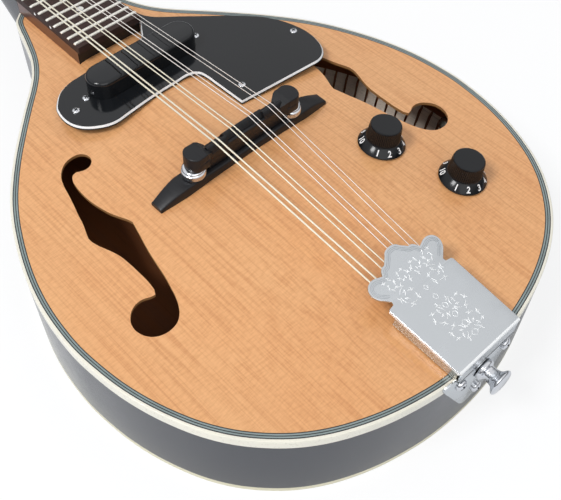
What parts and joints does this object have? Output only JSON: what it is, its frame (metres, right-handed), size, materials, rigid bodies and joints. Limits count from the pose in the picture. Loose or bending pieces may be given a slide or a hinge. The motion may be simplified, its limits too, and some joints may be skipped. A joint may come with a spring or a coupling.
{
  "type": "electric mandolin",
  "caption": "Teardrop-shaped electric mandolin with an arched f-hole top, floating bridge, bar pickup, two control knobs and a sliding tailpiece cover.",
  "frame": {"origin": "outside of the back on the centre line, under the end of the scale length", "axes": "+Y towards the headstock, +Z out of the top, +X to the treble side"},
  "size_m": [0.2672, 0.6691, 0.082],
  "materials": {
    "back_binding": "gloss",
    "back_lining": "satin",
    "back_plate": "satin",
    "bridge_base": "satin",
    "bridge_saddle": "satin",
    "end_pin": "gloss",
    "fretboard": "satin",
    "neck": "satin",
    "neck_block": "satin",
    "nut": "gloss",
    "output_jack": "gloss",
    "pickguard": "gloss",
    "pickup_coil": "satin",
    "pickup_cover": "gloss",
    "rim": "satin",
    "riser": "satin",
    "soundboard": "satin",
    "string_a1": "gloss",
    "string_a2": "gloss",
    "string_d1": "gloss",
    "string_d2": "gloss",
    "string_e1": "gloss",
    "string_e2": "gloss",
    "string_g1": "gloss",
    "string_g2": "gloss",
    "tail_block": "satin",
    "tailpiece_base": "gloss",
    "tailpiece_cover": "gloss",
    "thumbwheel_bass": "gloss",
    "thumbwheel_treble": "gloss",
    "tone_bar_bass": "satin",
    "tone_bar_treble": "satin",
    "tone_knob": "gloss",
    "tone_pot": "satin",
    "top_binding": "gloss",
    "top_lining": "satin",
    "top_purfling": "gloss",
    "truss_rod": "satin",
    "truss_rod_cover": "gloss",
    "tuner_key_bass_1": "gloss",
    "tuner_key_bass_2": "gloss",
    "tuner_key_bass_3": "gloss",
    "tuner_key_bass_4": "gloss",
    "tuner_key_treble_1": "gloss",
    "tuner_key_treble_2": "gloss",
    "tuner_key_treble_3": "gloss",
    "tuner_key_treble_4": "gloss",
    "tuner_plate_bass": "gloss",
    "tuner_plate_treble": "gloss",
    "tuner_post_bass_1": "gloss",
    "tuner_post_bass_2": "gloss",
    "tuner_post_bass_3": "gloss",
    "tuner_post_bass_4": "gloss",
    "tuner_post_treble_1": "gloss",
    "tuner_post_treble_2": "gloss",
    "tuner_post_treble_3": "gloss",
    "tuner_post_treble_4": "gloss",
    "volume_knob": "gloss",
    "volume_pot": "satin"
  },
  "bodies": {
    "key_bass_1_body": {"tuner_key_bass_1": "tuner_key_bass_1"},
    "post_bass_1_body": {"tuner_post_bass_1": "tuner_post_bass_1"},
    "key_bass_2_body": {"tuner_key_bass_2": "tuner_key_bass_2"},
    "post_bass_2_body": {"tuner_post_bass_2": "tuner_post_bass_2"},
    "key_bass_3_body": {"tuner_key_bass_3": "tuner_key_bass_3"},
    "post_bass_3_body": {"tuner_post_bass_3": "tuner_post_bass_3"},
    "key_bass_4_body": {"tuner_key_bass_4": "tuner_key_bass_4"},
    "post_bass_4_body": {"tuner_post_bass_4": "tuner_post_bass_4"},
    "key_treble_1_body": {"tuner_key_treble_1": "tuner_key_treble_1"},
    "post_treble_1_body": {"tuner_post_treble_1": "tuner_post_treble_1"},
    "key_treble_2_body": {"tuner_key_treble_2": "tuner_key_treble_2"},
    "post_treble_2_body": {"tuner_post_treble_2": "tuner_post_treble_2"},
    "key_treble_3_body": {"tuner_key_treble_3": "tuner_key_treble_3"},
    "post_treble_3_body": {"tuner_post_treble_3": "tuner_post_treble_3"},
    "key_treble_4_body": {"tuner_key_treble_4": "tuner_key_treble_4"},
    "post_treble_4_body": {"tuner_post_treble_4": "tuner_post_treble_4"},
    "saddle": {"bridge_saddle": "bridge_saddle"},
    "thumbwheel_bass_body": {"thumbwheel_bass": "thumbwheel_bass"},
    "thumbwheel_treble_body": {"thumbwheel_treble": "thumbwheel_treble"},
    "volume": {"volume_knob": "volume_knob"},
    "tone": {"tone_knob": "tone_knob"},
    "cover": {"tailpiece_cover": "tailpiece_cover"},
    "body": {"back_binding": "back_binding", "back_lining": "back_lining", "back_plate": "back_plate", "bridge_base": "bridge_base", "end_pin": "end_pin", "fretboard": "fretboard", "neck": "neck", "neck_block": "neck_block", "nut": "nut", "output_jack": "output_jack", "pickguard": "pickguard", "pickup_coil": "pickup_coil", "pickup_cover": "pickup_cover", "rim": "rim", "riser": "riser", "soundboard": "soundboard", "string_a1": "string_a1", "string_a2": "string_a2", "string_d1": "string_d1", "string_d2": "string_d2", "string_e1": "string_e1", "string_e2": "string_e2", "string_g1": "string_g1", "string_g2": "string_g2", "tail_block": "tail_block", "tailpiece_base": "tailpiece_base", "tone_bar_bass": "tone_bar_bass", "tone_bar_treble": "tone_bar_treble", "tone_pot": "tone_pot", "top_binding": "top_binding", "top_lining": "top_lining", "top_purfling": "top_purfling", "truss_rod": "truss_rod", "truss_rod_cover": "truss_rod_cover", "tuner_plate_bass": "tuner_plate_bass", "tuner_plate_treble": "tuner_plate_treble", "volume_pot": "volume_pot"}
  },
  "joints": [
    {"name": "key_bass_1", "type": "hinge", "parent": "body", "child": "key_bass_1_body", "pos_m": [-0.0225, 0.38851, 0.02633], "axis": [1, 0, 0], "continuous": true},
    {"name": "post_bass_1", "type": "hinge", "parent": "body", "child": "post_bass_1_body", "pos_m": [-0.0225, 0.38115, 0.02823], "axis": [0, 0.2497, 0.9683], "continuous": true},
    {"name": "key_bass_2", "type": "hinge", "parent": "body", "child": "key_bass_2_body", "pos_m": [-0.0225, 0.41079, 0.02059], "axis": [1, 0, 0], "continuous": true},
    {"name": "post_bass_2", "type": "hinge", "parent": "body", "child": "post_bass_2_body", "pos_m": [-0.0225, 0.40342, 0.02249], "axis": [0, 0.2497, 0.9683], "continuous": true},
    {"name": "key_bass_3", "type": "hinge", "parent": "body", "child": "key_bass_3_body", "pos_m": [-0.0225, 0.43306, 0.01484], "axis": [1, 0, 0], "continuous": true},
    {"name": "post_bass_3", "type": "hinge", "parent": "body", "child": "post_bass_3_body", "pos_m": [-0.0225, 0.4257, 0.01674], "axis": [0, 0.2497, 0.9683], "continuous": true},
    {"name": "key_bass_4", "type": "hinge", "parent": "body", "child": "key_bass_4_body", "pos_m": [-0.0225, 0.45533, 0.0091], "axis": [1, 0, 0], "continuous": true},
    {"name": "post_bass_4", "type": "hinge", "parent": "body", "child": "post_bass_4_body", "pos_m": [-0.0225, 0.44797, 0.011], "axis": [0, 0.2497, 0.9683], "continuous": true},
    {"name": "key_treble_1", "type": "hinge", "parent": "body", "child": "key_treble_1_body", "pos_m": [0.0225, 0.38851, 0.02633], "axis": [1, 0, 0], "continuous": true},
    {"name": "post_treble_1", "type": "hinge", "parent": "body", "child": "post_treble_1_body", "pos_m": [0.0225, 0.38115, 0.02823], "axis": [0, 0.2497, 0.9683], "continuous": true},
    {"name": "key_treble_2", "type": "hinge", "parent": "body", "child": "key_treble_2_body", "pos_m": [0.0225, 0.41079, 0.02059], "axis": [1, 0, 0], "continuous": true},
    {"name": "post_treble_2", "type": "hinge", "parent": "body", "child": "post_treble_2_body", "pos_m": [0.0225, 0.40342, 0.02249], "axis": [0, 0.2497, 0.9683], "continuous": true},
    {"name": "key_treble_3", "type": "hinge", "parent": "body", "child": "key_treble_3_body", "pos_m": [0.0225, 0.43306, 0.01484], "axis": [1, 0, 0], "continuous": true},
    {"name": "post_treble_3", "type": "hinge", "parent": "body", "child": "post_treble_3_body", "pos_m": [0.0225, 0.4257, 0.01674], "axis": [0, 0.2497, 0.9683], "continuous": true},
    {"name": "key_treble_4", "type": "hinge", "parent": "body", "child": "key_treble_4_body", "pos_m": [0.0225, 0.45533, 0.0091], "axis": [1, 0, 0], "continuous": true},
    {"name": "post_treble_4", "type": "hinge", "parent": "body", "child": "post_treble_4_body", "pos_m": [0.0225, 0.44797, 0.011], "axis": [0, 0.2497, 0.9683], "continuous": true},
    {"name": "bridge_height", "type": "slide", "parent": "body", "child": "saddle", "axis": [0, 0, 1], "range_m": [-0.0002, 0.003], "deforming": ["string_a1", "string_a2", "string_d1", "string_d2", "string_e1", "string_e2", "string_g1", "string_g2"]},
    {"name": "thumbwheel_bass_turn", "type": "hinge", "parent": "saddle", "child": "thumbwheel_bass_body", "pos_m": [-0.0325, -0.005, 0.0673], "axis": [0, 0, 1], "range_deg": [-120, 1560]},
    {"name": "thumbwheel_treble_turn", "type": "hinge", "parent": "saddle", "child": "thumbwheel_treble_body", "pos_m": [0.0325, -0.005, 0.0673], "axis": [0, 0, 1], "range_deg": [-120, 1560]},
    {"name": "volume_turn", "type": "hinge", "parent": "body", "child": "volume", "pos_m": [0.0576, -0.04965, 0.06526], "axis": [0.0994, -0.025, 0.9947], "range_deg": [-150, 150]},
    {"name": "tone_turn", "type": "hinge", "parent": "body", "child": "tone", "pos_m": [0.07322, -0.09212, 0.06195], "axis": [0.0705, -0.0538, 0.9961], "range_deg": [-150, 150]},
    {"name": "cover_slide", "type": "slide", "parent": "body", "child": "cover", "axis": [0, 0.9966, 0.0822], "range_m": [0, 0.012]}
  ],
  "couplings": [
    {"joint": "post_bass_1", "follows": "key_bass_1", "ratio": -0.071429},
    {"joint": "post_bass_2", "follows": "key_bass_2", "ratio": -0.071429},
    {"joint": "post_bass_3", "follows": "key_bass_3", "ratio": -0.071429},
    {"joint": "post_bass_4", "follows": "key_bass_4", "ratio": -0.071429},
    {"joint": "post_treble_1", "follows": "key_treble_1", "ratio": -0.071429},
    {"joint": "post_treble_2", "follows": "key_treble_2", "ratio": -0.071429},
    {"joint": "post_treble_3", "follows": "key_treble_3", "ratio": -0.071429},
    {"joint": "post_treble_4", "follows": "key_treble_4", "ratio": -0.071429},
    {"joint": "thumbwheel_bass_turn", "follows": "bridge_height", "rad_per_m": 8976},
    {"joint": "thumbwheel_treble_turn", "follows": "bridge_height", "rad_per_m": 8976}
  ]
}
